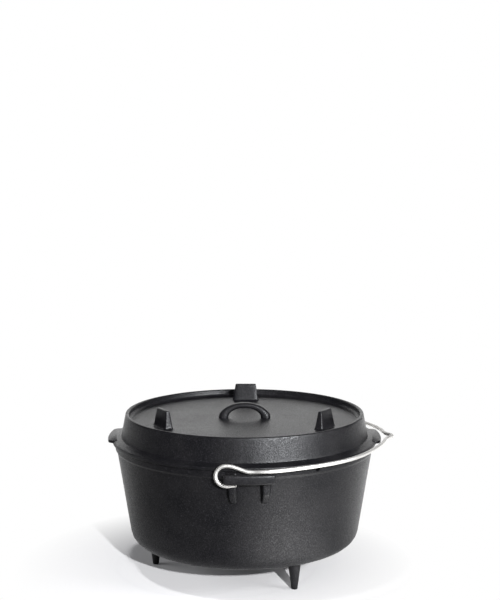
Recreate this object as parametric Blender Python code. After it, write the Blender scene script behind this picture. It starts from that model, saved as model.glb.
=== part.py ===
"""Three-legged camp oven in cast iron: a pot on three cast legs, a flanged lid that
turns over to stand on its own three stub feet, and a folding wire bail.

The frame is the pot's own: Z is its axis, z = 0 is the ground under the feet, the
ears face -Y and +Y, and the lid's two lifting tabs face -X and +X. Lengths are in
metres. Each casting is one real piece, so each is one object.
"""

from math import atan, atan2, cos, exp, hypot, pi, radians, sin, tan

import bmesh
import bpy
import numpy as np
from mathutils import Vector

MM = 0.001

# Pot casting
LEG_HEIGHT = 38.4 * MM
BODY_DEPTH = 140.0 * MM
WALL_RADIUS = 176.6 * MM
WALL_TAPER = radians(9.0)
WALL_THICKNESS = 4.6 * MM
FLOOR_THICKNESS = 5.2 * MM
FLOOR_CORNER_RADIUS = 20.0 * MM
BAND_HEIGHT = 10.2 * MM
BAND_PROUD = 2.4 * MM
NOTCH_WIDTH = 6.8 * MM
NOTCH_DEPTH = 6.8 * MM
NOTCH_AZIMUTH = radians(-60.5)

# Legs, cast on under the floor
LEG_COUNT = 3
LEG_CIRCLE_RADIUS = 124.9 * MM
LEG_ROOT_DIAMETER = 18.0 * MM
LEG_FOOT_DIAMETER = 8.6 * MM
LEG_FILLET = 5.0 * MM

# Ears: a curved bar on two round posts, with a rib under each post
POST_SPACING = 44.0 * MM
POST_DIAMETER = 11.6 * MM
POST_DROP = 7.2 * MM
BAR_LENGTH = 65.0 * MM
BAR_THICKNESS = 7.0 * MM
BAR_HEIGHT = 12.2 * MM
BAR_CORNER = 2.2 * MM
RIB_LENGTH = 43.0 * MM
RIB_FACE_WIDTH = 9.0 * MM
RIB_FACE_FOOT_WIDTH = 7.0 * MM
RIB_OUTER_REACH = 11.9 * MM
RIB_OUTER_FOOT_REACH = 5.0 * MM
RIB_INNER_REACH = 7.8 * MM
RIB_INNER_FOOT_REACH = 5.5 * MM
RIB_FOOT_PROUD = 3.2 * MM
RIB_STANDOFF = 1.0 * MM
RIB_TOP_DROP = 1.4 * MM
RIB_TOP_ROUND = 1.2 * MM
RIB_EDGE_ROUND = 0.9 * MM

# Lid casting
LID_TURN = radians(-2.6)
LID_HEIGHT = 39.2 * MM
SKIRT_SET_IN = 1.3 * MM
SKIRT_LEAN = 5.9 * MM
SKIRT_THICKNESS = 4.8 * MM
PLATE_DEPTH = 8.9 * MM
PLATE_THICKNESS = 5.0 * MM
FLANGE_OVERHANG = 4.0 * MM
FLANGE_EDGE = 4.3 * MM
FLANGE_RISE = 3.1 * MM
RIDGE_DEPTH = 5.5 * MM
TAB_REACH = 6.4 * MM
TAB_THICKNESS = 3.6 * MM
TAB_HALF_ANGLE = radians(12.6)
TAB_CORNER = 9.0 * MM
TAB_DROP = 1.7 * MM
LID_INNER_CORNER = 6.0 * MM
DISH_CORNER = 4.5 * MM

# Stub feet on the lid
STUB_COUNT = 3
STUB_CIRCLE_RADIUS = 125.0 * MM
STUB_RISE = 15.0 * MM
STUB_TOP_WIDTH = 30.0 * MM
STUB_TOP_DEPTH = 5.6 * MM
STUB_DRAFT = 3.8 * MM
STUB_CORNER = 1.6 * MM

# Arch handle on the lid
ARCH_SPAN = 72.0 * MM
ARCH_RISE = 21.0 * MM
ARCH_OPENING_SPAN = 45.0 * MM
ARCH_OPENING_RISE = 13.5 * MM
ARCH_WIDTH = 13.0 * MM
ARCH_FLARE = 4.0 * MM

# Wire bail
WIRE_DIAMETER = 5.0 * MM
EYE_HALF_LENGTH = 13.4 * MM
EYE_HALF_HEIGHT = 12.8 * MM
EYE_SET_BACK = 7.0 * MM
EYE_TAIL = 5.3 * MM
EYE_BEND_LENGTH = 34.0 * MM
BOW_START = radians(70.0)
BOW_END = radians(11.0)
BOW_BULGE = 8.6 * MM
BOW_BULGE_ANGLE = radians(46.0)
BOW_BULGE_SPREAD = radians(17.0)
KINK_REACH = 8.4 * MM
KINK_SPREAD = 13.2 * MM
REST_TILT = radians(4.3)
ARM_LENGTH = 20.0 * MM
SEAT_REACH = 30.0 * MM
BAIL_POINT_SPACING = 6.6 * MM

# Clearances
SEAT_GAP = 0.3 * MM
LID_CLEARANCE = 0.7 * MM
EYE_CLEARANCE = 0.6 * MM
BOW_CLEARANCE = 4.9 * MM
CAST_OVERLAP = 2.2 * MM
EDGE_ROUND = 0.8 * MM
ARM_OUTSET = 1.2 * MM

# Levels and radii that follow from the sizes above
TURN_STEPS = 90
FLOOR_UNDERSIDE = LEG_HEIGHT
RIM_TOP = LEG_HEIGHT + BODY_DEPTH
BAND_FOOT = RIM_TOP - BAND_HEIGHT
BAND_RADIUS = WALL_RADIUS + BAND_PROUD
WALL_BORE = WALL_THICKNESS / cos(WALL_TAPER)
MOUTH_RADIUS = WALL_RADIUS - WALL_BORE

FLANGE_RADIUS = BAND_RADIUS + FLANGE_OVERHANG
SKIRT_FOOT_RADIUS = MOUTH_RADIUS - SKIRT_SET_IN
LIP_RADIUS = SKIRT_FOOT_RADIUS - SKIRT_LEAN
LID_SEAT = RIM_TOP + SEAT_GAP
FLANGE_TOP = LID_SEAT + FLANGE_EDGE
SKIRT_FOOT = FLANGE_TOP + FLANGE_RISE
LIP_TOP = LID_SEAT + LID_HEIGHT
PLATE_TOP = LIP_TOP - PLATE_DEPTH
PLATE_UNDERSIDE = PLATE_TOP - PLATE_THICKNESS
TAB_RADIUS = FLANGE_RADIUS + TAB_REACH

POST_LEVEL = RIM_TOP - POST_DROP
WIRE_RADIUS = WIRE_DIAMETER / 2
TAIL_DROP = POST_DIAMETER / 2 + WIRE_RADIUS + EYE_CLEARANCE
EYE_HEIGHT = EYE_HALF_HEIGHT - TAIL_DROP - EYE_CLEARANCE
EYE_REACH = EYE_HALF_LENGTH + EYE_SET_BACK
RIB_FRONT = FLANGE_RADIUS + RIB_STANDOFF
EYE_PLANE = RIB_FRONT + EYE_CLEARANCE + WIRE_RADIUS
BAR_BACK = hypot(EYE_PLANE, EYE_REACH) + WIRE_RADIUS + EYE_CLEARANCE
BAR_MIDDLE = BAR_BACK + BAR_THICKNESS / 2
BAR_TOP = POST_LEVEL + BAR_HEIGHT / 2
ARM_LEVEL = BAR_TOP + SEAT_GAP + WIRE_RADIUS - POST_LEVEL
ARM_HEIGHT = (ARM_LEVEL - SEAT_REACH * sin(REST_TILT)) / cos(REST_TILT)
BOW_RADIUS = TAB_RADIUS + BOW_CLEARANCE + WIRE_RADIUS


def clear_scene():
    """Start from an empty scene."""
    for item in list(bpy.data.objects):
        bpy.data.objects.remove(item, do_unlink=True)


def make_material(name, colour, roughness, metallic):
    """A plain Principled BSDF in the part's own colour."""
    material = bpy.data.materials.new(name)
    material.use_nodes = True
    shader = material.node_tree.nodes["Principled BSDF"]
    shader.inputs["Base Color"].default_value = (*colour, 1.0)
    shader.inputs["Roughness"].default_value = roughness
    shader.inputs["Metallic"].default_value = metallic
    return material


def add_object(name, data, material=None, location=(0.0, 0.0, 0.0)):
    """Link new object data into the scene, with its origin at location."""
    item = bpy.data.objects.new(name, data)
    item.location = location
    if material is not None:
        data.materials.append(material)
    bpy.context.collection.objects.link(item)
    return item


def finish_mesh(bm, name, sharp_angle=radians(35.0)):
    """Merge doubles, point the faces outwards and shade the round faces smooth."""
    bmesh.ops.remove_doubles(bm, verts=bm.verts, dist=1e-6)
    bmesh.ops.recalc_face_normals(bm, faces=bm.faces)
    mesh = bpy.data.meshes.new(name)
    bm.to_mesh(mesh)
    bm.free()
    mesh.shade_smooth()
    mesh.set_sharp_from_angle(angle=sharp_angle)
    return mesh


def turned_mesh(bm, profile, steps, centre=(0.0, 0.0, 0.0)):
    """Spin a closed (radius, height) profile about the vertical line through centre."""
    middle = Vector(centre)
    verts = [bm.verts.new(middle + Vector((r, 0.0, z))) for r, z in profile]
    edges = [bm.edges.new((a, b)) for a, b in zip(verts, verts[1:])]
    if profile[0][0] > 0.0:
        edges.append(bm.edges.new((verts[-1], verts[0])))
    bmesh.ops.spin(bm, geom=verts + edges, cent=middle, axis=(0.0, 0.0, 1.0),
                   angle=2 * pi, steps=steps, use_merge=True)


def loft(bm, rings):
    """Skin a row of closed rings with the same number of points, and cap both ends."""
    rows = [[bm.verts.new(point) for point in ring] for ring in rings]
    count = len(rows[0])
    for low, high in zip(rows, rows[1:]):
        for i in range(count):
            j = (i + 1) % count
            bm.faces.new((low[i], low[j], high[j], high[i]))
    bm.faces.new(rows[0][::-1])
    bm.faces.new(rows[-1])


def arc(centre, radius, start, end, steps):
    """Points of a round corner in a profile, from angle start to angle end."""
    angles = [start + (end - start) * i / steps for i in range(steps + 1)]
    return [(centre[0] + radius * cos(a), centre[1] + radius * sin(a)) for a in angles]


def rounded_box(width, height, radius, per_corner=3):
    """Outline of a rectangle with round corners, centred on the origin."""
    radius = min(radius, 0.49 * width, 0.49 * height)
    outline = []
    for quarter, (sx, sy) in enumerate(((1, 1), (-1, 1), (-1, -1), (1, -1))):
        corner = (sx * (width / 2 - radius), sy * (height / 2 - radius))
        start = quarter * pi / 2
        outline += arc(corner, radius, start, start + pi / 2, per_corner - 1)
    return outline


def around(azimuth, out, along, level):
    """World point: out from the pot's axis at azimuth, along the rim, at a level."""
    return Vector((out * cos(azimuth) - along * sin(azimuth),
                   out * sin(azimuth) + along * cos(azimuth), level))


def wall_radius_at(level):
    """Outside radius of the tapered wall at a level."""
    return WALL_RADIUS - (BAND_FOOT - level) * tan(WALL_TAPER)


def add_boolean(item, tool, operation):
    """Join a hidden tool object to a casting, or cut it away."""
    tool.hide_render = True
    tool.display_type = "WIRE"
    modifier = item.modifiers.new(tool.name, "BOOLEAN")
    modifier.operation = operation
    modifier.object = tool
    modifier.solver = "EXACT"


def floor_corner(radius_at_floor, floor, corner):
    """Round corner between the flat floor and the tapered wall, floor side first.

    radius_at_floor is where the straight wall would meet the floor's plane.
    """
    slope = pi / 2 - WALL_TAPER
    reach = corner * tan(slope / 2)
    centre = (radius_at_floor - reach, floor + corner)
    return arc(centre, corner, -pi / 2, -WALL_TAPER, 6)


def pot_profile():
    """Closed outline of the turned pot body, from the axis round to the axis."""
    floor_top = FLOOR_UNDERSIDE + FLOOR_THICKNESS
    inner_corner = FLOOR_CORNER_RADIUS - 0.5 * WALL_THICKNESS
    outside = floor_corner(wall_radius_at(FLOOR_UNDERSIDE), FLOOR_UNDERSIDE, FLOOR_CORNER_RADIUS)
    inside = floor_corner(wall_radius_at(floor_top) - WALL_BORE, floor_top, inner_corner)
    flare = 0.6 * BAND_PROUD
    outline = [(0.0, FLOOR_UNDERSIDE)] + outside
    outline += [(WALL_RADIUS - 0.2 * MM, BAND_FOOT - flare), (WALL_RADIUS + 0.3 * BAND_PROUD, BAND_FOOT)]
    outline += [(BAND_RADIUS - 0.15 * BAND_PROUD, BAND_FOOT + flare), (BAND_RADIUS, RIM_TOP - EDGE_ROUND)]
    outline += [(BAND_RADIUS - EDGE_ROUND, RIM_TOP), (MOUTH_RADIUS + EDGE_ROUND, RIM_TOP)]
    outline += [(MOUTH_RADIUS, RIM_TOP - EDGE_ROUND), (MOUTH_RADIUS - 0.1 * MM, BAND_FOOT)]
    outline += inside[::-1] + [(0.0, floor_top)]
    return outline


def leg_profile():
    """Closed outline of one leg: a flat foot, a tapered shank and a flared root."""
    foot = LEG_FOOT_DIAMETER / 2
    root = LEG_ROOT_DIAMETER / 2
    flare = arc((root + LEG_FILLET, FLOOR_UNDERSIDE - LEG_FILLET), LEG_FILLET, pi, pi / 2, 4)
    top = FLOOR_UNDERSIDE + min(CAST_OVERLAP, 0.6 * FLOOR_THICKNESS)
    shank = [(0.0, 0.0), (0.7 * foot, 0.0), (0.93 * foot, 0.6 * MM), (foot, 2.0 * MM)]
    return shank + flare + [(root + LEG_FILLET, top), (0.0, top)]


def make_legs():
    """Three legs as one tool, so that they can be joined to the pot."""
    bm = bmesh.new()
    for i in range(LEG_COUNT):
        azimuth = pi + 2 * pi * i / LEG_COUNT
        turned_mesh(bm, leg_profile(), 20, around(azimuth, LEG_CIRCLE_RADIUS, 0.0, 0.0))
    return add_object("leg_castings", finish_mesh(bm, "leg_castings"))


def ear_azimuths():
    """Directions of the front ear and the back ear."""
    return (-pi / 2, pi / 2)


def posts():
    """Direction from the pot's axis to each of the four posts, and its side of its ear."""
    half = atan2(POST_SPACING / 2, EYE_PLANE)
    return [(azimuth + side * half, side) for azimuth in ear_azimuths() for side in (-1, 1)]


def rib_ring(direction, side, level, share, front):
    """Section of a rib: a flat face between two slanting flanks, its back in the wall.

    The outer flank reaches out to the end of the bar at the top; share is 0 at the
    rib's foot and 1 at its top.
    """
    wall = wall_radius_at(level) - RIB_EDGE_ROUND
    back = wall_radius_at(level) - min(CAST_OVERLAP, 0.6 * WALL_THICKNESS)
    outer = RIB_OUTER_FOOT_REACH + share * (RIB_OUTER_REACH - RIB_OUTER_FOOT_REACH)
    inner = RIB_INNER_FOOT_REACH + share * (RIB_INNER_REACH - RIB_INNER_FOOT_REACH)
    face = (RIB_FACE_FOOT_WIDTH + share * (RIB_FACE_WIDTH - RIB_FACE_FOOT_WIDTH)) / 2
    edge = min(RIB_EDGE_ROUND, 0.5 * (front - wall))
    outline = [(outer, back), (outer, wall), (face, front - edge), (face - edge, front)]
    outline += [(edge - face, front), (-face, front - edge), (-inner, wall), (-inner, back)]
    return [around(direction, out, side * along, level) for along, out in outline]


def make_ribs():
    """Tapered ribs that carry the posts down onto the wall."""
    top = RIM_TOP - RIB_TOP_DROP
    foot = top - RIB_LENGTH
    shoulder = POST_LEVEL - EYE_REACH
    bm = bmesh.new()
    for direction, side in posts():
        rings = []
        for share in (0.0, 0.06, 0.15, 0.3, 0.45, 0.6, 0.8, 0.96, 1.0):
            level = foot + share * (top - foot)
            rise = min(1.0, max(0.0, (level - foot) / (shoulder - foot)))
            ease = rise * rise * (3 - 2 * rise)
            low_front = wall_radius_at(level) + RIB_FOOT_PROUD
            front = low_front + ease * max(0.0, RIB_FRONT - low_front)
            if share == 0.0:
                front = wall_radius_at(level) - 0.3 * MM
            if share == 1.0:
                front -= RIB_TOP_ROUND
            rings.append(rib_ring(direction, side, level, share, front))
        loft(bm, rings)
    return add_object("ear_ribs", finish_mesh(bm, "ear_ribs"))


def make_posts():
    """Round posts across the slots, radial from the pot's axis: the bail turns on two."""
    bm = bmesh.new()
    start = MOUTH_RADIUS + 0.5 * (BAND_RADIUS - MOUTH_RADIUS)
    end = BAR_BACK + 0.5 * BAR_THICKNESS
    angles = [2 * pi * i / 20 for i in range(20)]
    for direction, _ in posts():
        rings = []
        for out in (start, end):
            rings.append([around(direction, out, POST_DIAMETER / 2 * cos(a),
                                 POST_LEVEL + POST_DIAMETER / 2 * sin(a)) for a in angles])
        loft(bm, rings)
    return add_object("ear_posts", finish_mesh(bm, "ear_posts"))


def make_bars():
    """Curved bars concentric with the rim, with round ends, in front of the slots."""
    half_angle = BAR_LENGTH / 2 / BAR_MIDDLE
    end_round = 0.45 * BAR_THICKNESS
    steps = [(half_angle * (i / 5 - 1) * (1 - end_round / (BAR_LENGTH / 2)), 0.0) for i in range(11)]
    ends = []
    for turn in (0.5, 0.85, 1.0):
        angle = turn * pi / 2
        reach = half_angle - end_round * (1 - sin(angle)) / BAR_MIDDLE
        ends.append((reach, end_round * (1 - cos(angle))))
    stations = [(-a, inset) for a, inset in reversed(ends)] + steps + ends
    bm = bmesh.new()
    for azimuth in ear_azimuths():
        rings = []
        for turn, inset in stations:
            outline = rounded_box(BAR_THICKNESS - 2 * inset * 0.9, BAR_HEIGHT - 2 * inset, BAR_CORNER)
            ring = []
            for out, up in outline:
                level = BAR_TOP - BAR_HEIGHT / 2 + up
                ring.append(around(azimuth + turn, BAR_MIDDLE + out, 0.0, level))
            rings.append(ring)
        loft(bm, rings)
    return add_object("ear_bars", finish_mesh(bm, "ear_bars"))


def make_notch_cutter():
    """U-shaped thermometer notch through the rim, open at the top."""
    radius = NOTCH_WIDTH / 2
    centre = (0.0, RIM_TOP - NOTCH_DEPTH + radius)
    outline = [(radius, RIM_TOP + radius)] + arc(centre, radius, 0.0, -pi, 8) + [(-radius, RIM_TOP + radius)]
    bm = bmesh.new()
    rings = []
    for out in (MOUTH_RADIUS - 5.0 * MM, BAND_RADIUS + 5.0 * MM):
        rings.append([around(NOTCH_AZIMUTH, out, along, level) for along, level in outline])
    loft(bm, rings)
    return add_object("notch_cutter", finish_mesh(bm, "notch_cutter"))


def make_pot(material):
    """The pot casting: turned body, legs and ears joined, notch cut."""
    bm = bmesh.new()
    turned_mesh(bm, pot_profile(), TURN_STEPS)
    pot = add_object("pot", finish_mesh(bm, "pot"), material)
    for tool in (make_legs(), make_ribs(), make_posts(), make_bars()):
        add_boolean(pot, tool, "UNION")
    add_boolean(pot, make_notch_cutter(), "DIFFERENCE")
    return pot


def lid_profile():
    """Closed outline of the turned lid, underside first, heights above the lid's seat."""
    seat = 0.0
    skirt_slope = (SKIRT_FOOT_RADIUS - LIP_RADIUS) / (LIP_TOP - SKIRT_FOOT)
    plate_under = PLATE_UNDERSIDE - LID_SEAT
    plate_top = PLATE_TOP - LID_SEAT
    lip_top = LIP_TOP - LID_SEAT
    skirt_foot = SKIRT_FOOT - LID_SEAT
    flange_top = FLANGE_TOP - LID_SEAT
    ridge_outer = MOUTH_RADIUS - LID_CLEARANCE
    ridge_inner = ridge_outer - SKIRT_THICKNESS

    def skirt_outer(level):
        return LIP_RADIUS + (lip_top - level) * skirt_slope

    corner = LID_INNER_CORNER
    under = skirt_outer(plate_under) - SKIRT_THICKNESS
    outline = [(0.0, plate_under)]
    outline += arc((under - corner, plate_under - corner), corner, pi / 2, 0.1, 3)
    outline += [(ridge_inner, -RIDGE_DEPTH + EDGE_ROUND), (ridge_inner + EDGE_ROUND, -RIDGE_DEPTH)]
    outline += [(ridge_outer - 1.7 * EDGE_ROUND, -RIDGE_DEPTH)]
    outline += [(ridge_outer - 0.5 * EDGE_ROUND, -RIDGE_DEPTH + EDGE_ROUND)]
    outline += [(ridge_outer, seat), (FLANGE_RADIUS - EDGE_ROUND, seat), (FLANGE_RADIUS, seat + EDGE_ROUND)]
    outline += [(FLANGE_RADIUS, flange_top - EDGE_ROUND), (FLANGE_RADIUS - EDGE_ROUND, flange_top)]
    outline += [(SKIRT_FOOT_RADIUS + 1.8 * MM, skirt_foot - 0.5 * MM)]
    outline += [(SKIRT_FOOT_RADIUS + 0.5 * MM, skirt_foot)]
    outline += [(SKIRT_FOOT_RADIUS - 0.3 * MM, skirt_foot + 1.2 * MM)]
    lip = 0.48 * SKIRT_THICKNESS
    outline += arc((LIP_RADIUS - lip, lip_top - lip), lip, 0.15, pi - 0.1, 6)
    inner = LIP_RADIUS - 2 * lip
    dish = min(DISH_CORNER, 0.6 * PLATE_DEPTH)
    outline += arc((inner - dish, plate_top + dish), dish, 0.0, -pi / 2, 3)
    return outline + [(0.0, plate_top)]


def make_tabs():
    """Two flat lobes on the flange, level with the foot of the skirt."""
    low = SKIRT_FOOT - LID_SEAT - TAB_THICKNESS - TAB_DROP
    high = SKIRT_FOOT - LID_SEAT - TAB_DROP
    corner_turn = TAB_CORNER / TAB_RADIUS
    root = SKIRT_FOOT_RADIUS - 0.35 * SKIRT_THICKNESS
    bm = bmesh.new()
    for azimuth in (0.0, pi):
        outline = [(root, -TAB_HALF_ANGLE)]
        outline += corner_points(-1, corner_turn)
        outline += [(TAB_RADIUS, TAB_HALF_ANGLE * share) for share in (-0.4, 0.0, 0.4)]
        outline += corner_points(1, corner_turn)[::-1]
        outline += [(root, TAB_HALF_ANGLE * (1 - i / 3)) for i in range(6)]
        rings = []
        for level in (low, high):
            rings.append([around(azimuth + turn, out, 0.0, level) for out, turn in outline])
        loft(bm, rings)
    return add_object("lid_tabs", finish_mesh(bm, "lid_tabs"))


def corner_points(side, corner_turn):
    """Round corner of a tab in (radius, turn), from its straight side to its tip."""
    points = []
    for i in range(5):
        angle = pi / 2 * i / 4
        out = TAB_RADIUS - TAB_CORNER * (1 - sin(angle))
        points.append((out, side * (TAB_HALF_ANGLE - corner_turn * (1 - cos(angle)))))
    return points


def make_stubs():
    """Three tapered stub feet on the lid, which it stands on when turned over."""
    base = PLATE_TOP - LID_SEAT
    top = LIP_TOP - LID_SEAT + STUB_RISE
    sink = min(CAST_OVERLAP, 0.6 * PLATE_THICKNESS)
    stations = [(base - sink, 1.25), (base, 1.2), (base + 2.2 * MM, 0.92)]
    stations += [(top - 1.2 * MM, 0.05), (top, -0.2)]
    bm = bmesh.new()
    for i in range(STUB_COUNT):
        azimuth = pi / 2 + 2 * pi * i / STUB_COUNT
        rings = []
        for level, spread in stations:
            depth = STUB_TOP_DEPTH + 2 * STUB_DRAFT * spread
            width = STUB_TOP_WIDTH + 2 * STUB_DRAFT * spread
            outline = rounded_box(depth, width, STUB_CORNER)
            rings.append([around(azimuth, STUB_CIRCLE_RADIUS + out, along, level) for out, along in outline])
        loft(bm, rings)
    return add_object("stub_feet", finish_mesh(bm, "stub_feet"))


def make_arch():
    """Arch handle: an oval band that thickens and widens towards its two feet."""
    base = PLATE_TOP - LID_SEAT
    sink = min(CAST_OVERLAP, 0.6 * PLATE_THICKNESS)
    bm = bmesh.new()
    rings = []
    for i in range(21):
        turn = pi * (i / 20 - 0.5)
        outer = (ARCH_SPAN / 2 * sin(turn), ARCH_RISE * cos(turn))
        inner = (ARCH_OPENING_SPAN / 2 * sin(turn), ARCH_OPENING_RISE * cos(turn))
        width = ARCH_WIDTH + ARCH_FLARE * sin(turn) ** 4
        rings.append(band_ring(outer, inner, width, base))
    first = [point - Vector((0.0, 0.0, sink)) for point in rings[0]]
    last = [point - Vector((0.0, 0.0, sink)) for point in rings[-1]]
    loft(bm, [first] + rings + [last])
    return add_object("arch_handle", finish_mesh(bm, "arch_handle"))


def band_ring(outer, inner, width, base):
    """Rounded section of the arch between its inner and outer outlines."""
    middle = ((outer[0] + inner[0]) / 2, (outer[1] + inner[1]) / 2)
    reach = ((outer[0] - inner[0]) / 2, (outer[1] - inner[1]) / 2)
    ring = []
    for k in range(12):
        angle = 2 * pi * k / 12
        across = abs(cos(angle)) ** 0.7 * (1 if cos(angle) > 0 else -1)
        side = abs(sin(angle)) ** 0.7 * (1 if sin(angle) > 0 else -1)
        ring.append(Vector((middle[0] + reach[0] * across, side * width / 2,
                            base + middle[1] + reach[1] * across)))
    return ring


def make_lid(material):
    """The lid casting, with its origin on its own axis at the level of its seat."""
    bm = bmesh.new()
    turned_mesh(bm, lid_profile(), TURN_STEPS)
    lid = add_object("lid", finish_mesh(bm, "lid"), material, (0.0, 0.0, LID_SEAT))
    lid.rotation_euler = (0.0, 0.0, LID_TURN)
    for tool in (make_tabs(), make_stubs(), make_arch()):
        tool.parent = lid
        add_boolean(lid, tool, "UNION")
    return lid


def bow_radius(turn):
    """Radius of the bow about the pot's axis, at an angle from its middle."""
    swell = BOW_BULGE * exp(-(((turn - BOW_BULGE_ANGLE) / BOW_BULGE_SPREAD) ** 2))
    return BOW_RADIUS + swell


def bent_down(share):
    """How much of the step from the eye's top down to the arm is still left."""
    return 0.5 * (1 + cos(pi * share))


def half_bail_points():
    """Front half of the bail as (forward, out, up), from its free end to the kink.

    forward runs from the hinge line towards the middle of the bow, out runs along
    the hinge line from the pot's axis to the ear, and up is square to both.
    """
    sag = 0.4 * EYE_CLEARANCE
    points = [(EYE_TAIL, EYE_PLANE, -TAIL_DROP)]
    points += [(EYE_TAIL / 2 - EYE_SET_BACK / 2, EYE_PLANE, -TAIL_DROP - sag)]
    for step in range(10):
        angle = -pi / 2 - pi * step / 9
        ahead = -EYE_SET_BACK + EYE_HALF_LENGTH * cos(angle)
        points.append((ahead, EYE_PLANE, EYE_HEIGHT + EYE_HALF_HEIGHT * sin(angle)))
    top = EYE_HEIGHT + EYE_HALF_HEIGHT
    for share, outset in ((0.2, 0.0), (0.4, 0.0), (0.6, 0.35), (0.8, 1.0)):
        rise = ARM_HEIGHT + (top - ARM_HEIGHT) * bent_down(share)
        points.append((share * EYE_BEND_LENGTH - EYE_SET_BACK, EYE_PLANE + outset * ARM_OUTSET, rise))
    for forward, share in ((1.45, 0.32), (1.9, 0.66), (2.45, 0.95)):
        along = forward * ARM_LENGTH
        radius = EYE_PLANE + share * (BAR_MIDDLE - EYE_PLANE) + ARM_OUTSET
        out = (radius ** 2 - along ** 2) ** 0.5
        points.append((along, out, ARM_HEIGHT * out / EYE_PLANE))
    for turn in np.linspace(BOW_START, BOW_END, 11):
        radius = bow_radius(turn)
        out = radius * sin(turn)
        points.append((radius * cos(turn), out, ARM_HEIGHT * out / EYE_PLANE))
    for spreads in (1.9, 1.4, 1.0, 0.65, 0.3, 0.0):
        out = spreads * KINK_SPREAD
        forward = (BOW_RADIUS ** 2 - out ** 2) ** 0.5 + KINK_REACH * exp(-(spreads ** 2))
        points.append((forward, out, ARM_HEIGHT * out / EYE_PLANE))
    return points


def smooth_through(points, spacing):
    """Catmull-Rom curve through the points, read at about the given spacing."""
    points = np.array(points)
    ends = np.vstack([2 * points[0] - points[1], points, 2 * points[-1] - points[-2]])
    curve = []
    for i in range(1, len(ends) - 2):
        before, here, after, beyond = ends[i - 1:i + 3]
        steps = max(1, round(float(np.linalg.norm(after - here)) / spacing))
        for t in np.arange(steps) / steps:
            curve.append(0.5 * (2 * here + (after - before) * t
                                + (2 * before - 5 * here + 4 * after - beyond) * t ** 2
                                + (3 * here - before - 3 * after + beyond) * t ** 3))
    return curve + [points[-1]]


def hinge_angle():
    """Turn of the hinge line away from Y: it joins diagonally opposite posts."""
    return atan((POST_SPACING / 2) / EYE_PLANE)


def bail_points():
    """Whole centreline at rest, about an origin on the hinge line at the pot's axis."""
    half = half_bail_points()
    turn = hinge_angle()
    hinge = np.array((-sin(turn), -cos(turn), 0.0))
    level = np.array((cos(turn), -sin(turn), 0.0))
    forward = level * cos(REST_TILT) + np.array((0.0, 0.0, sin(REST_TILT)))
    up = np.array((0.0, 0.0, cos(REST_TILT))) - level * sin(REST_TILT)
    front = [ahead * forward + out * hinge + rise * up for ahead, out, rise in half]
    back = [ahead * forward - out * hinge - rise * up for ahead, out, rise in reversed(half[:-1])]
    return smooth_through(front + back, BAIL_POINT_SPACING)


def make_bail(material):
    """The wire bail: one length of wire from eye to eye, folded to +X."""
    curve = bpy.data.curves.new("bail", "CURVE")
    curve.dimensions = "3D"
    curve.bevel_depth = WIRE_RADIUS
    curve.bevel_resolution = 2
    curve.use_fill_caps = True
    centreline = bail_points()
    spline = curve.splines.new("POLY")
    spline.points.add(len(centreline) - 1)
    for point, place in zip(spline.points, centreline):
        point.co = (*place, 1.0)
    return add_object("bail", curve, material, (0.0, 0.0, POST_LEVEL))


def main():
    clear_scene()
    cast_iron = make_material("cast_iron", (0.018, 0.018, 0.020), 0.5, 0.35)
    steel = make_material("steel_wire", (0.62, 0.60, 0.56), 0.28, 1.0)
    make_pot(cast_iron)
    make_lid(cast_iron)
    make_bail(steel)


main()
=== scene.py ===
"""Looks of the three-legged camp oven: the pot, its flanged lid and its wire bail.

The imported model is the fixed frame. Every surface here is worked out in its metres:
Z is the pot's axis, z = 0 is the ground, and the two ears face -Y and +Y.
"""

from math import atan, atan2, cos, pi, radians, sin, tan

import bmesh
import bpy
import numpy as np
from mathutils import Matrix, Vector


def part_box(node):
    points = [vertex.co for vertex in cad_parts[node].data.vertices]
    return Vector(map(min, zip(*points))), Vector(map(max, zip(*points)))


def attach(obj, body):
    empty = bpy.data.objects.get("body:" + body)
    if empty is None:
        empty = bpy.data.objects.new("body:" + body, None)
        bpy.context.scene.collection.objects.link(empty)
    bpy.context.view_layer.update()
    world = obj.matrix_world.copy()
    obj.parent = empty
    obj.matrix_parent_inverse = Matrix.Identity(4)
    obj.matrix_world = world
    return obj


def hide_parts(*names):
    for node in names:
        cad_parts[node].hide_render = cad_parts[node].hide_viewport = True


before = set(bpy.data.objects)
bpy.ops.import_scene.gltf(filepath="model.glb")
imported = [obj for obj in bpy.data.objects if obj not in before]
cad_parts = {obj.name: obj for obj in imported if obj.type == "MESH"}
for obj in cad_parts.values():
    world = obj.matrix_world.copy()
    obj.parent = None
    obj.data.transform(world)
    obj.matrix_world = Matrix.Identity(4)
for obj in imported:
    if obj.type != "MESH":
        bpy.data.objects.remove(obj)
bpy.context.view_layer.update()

MM = 0.001
_, pot_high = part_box("pot")
lid_low, lid_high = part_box("lid")

# Pot casting, from the frame's box of it and the wall sizes
RIM_TOP = pot_high.z
BAND_RADIUS = pot_high.x
BAR_FRONT = pot_high.y
LEG_HEIGHT = 38.4 * MM
BAND_PROUD = 2.4 * MM
BAND_HEIGHT = 10.2 * MM
BAND_SLOPE_BELOW = 1.4 * MM
BAND_SLOPE_ABOVE = 1.8 * MM
BAND_HOLLOW_ROUND = 2.0 * MM
BAND_SHOULDER_ROUND = 1.6 * MM
WALL_RADIUS = BAND_RADIUS - BAND_PROUD
WALL_TAPER = radians(9.0)
WALL_THICKNESS = 4.6 * MM
FLOOR_THICKNESS = 5.2 * MM
FLOOR_CORNER_RADIUS = 20.0 * MM
BAND_FOOT = RIM_TOP - BAND_HEIGHT
WALL_BORE = WALL_THICKNESS / cos(WALL_TAPER)
MOUTH_RADIUS = WALL_RADIUS - WALL_BORE
MOUTH_DRAFT = 0.1 * MM
MOUTH_BEND_ROUND = 6.0 * MM
EDGE_ROUND = 0.9 * MM

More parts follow.
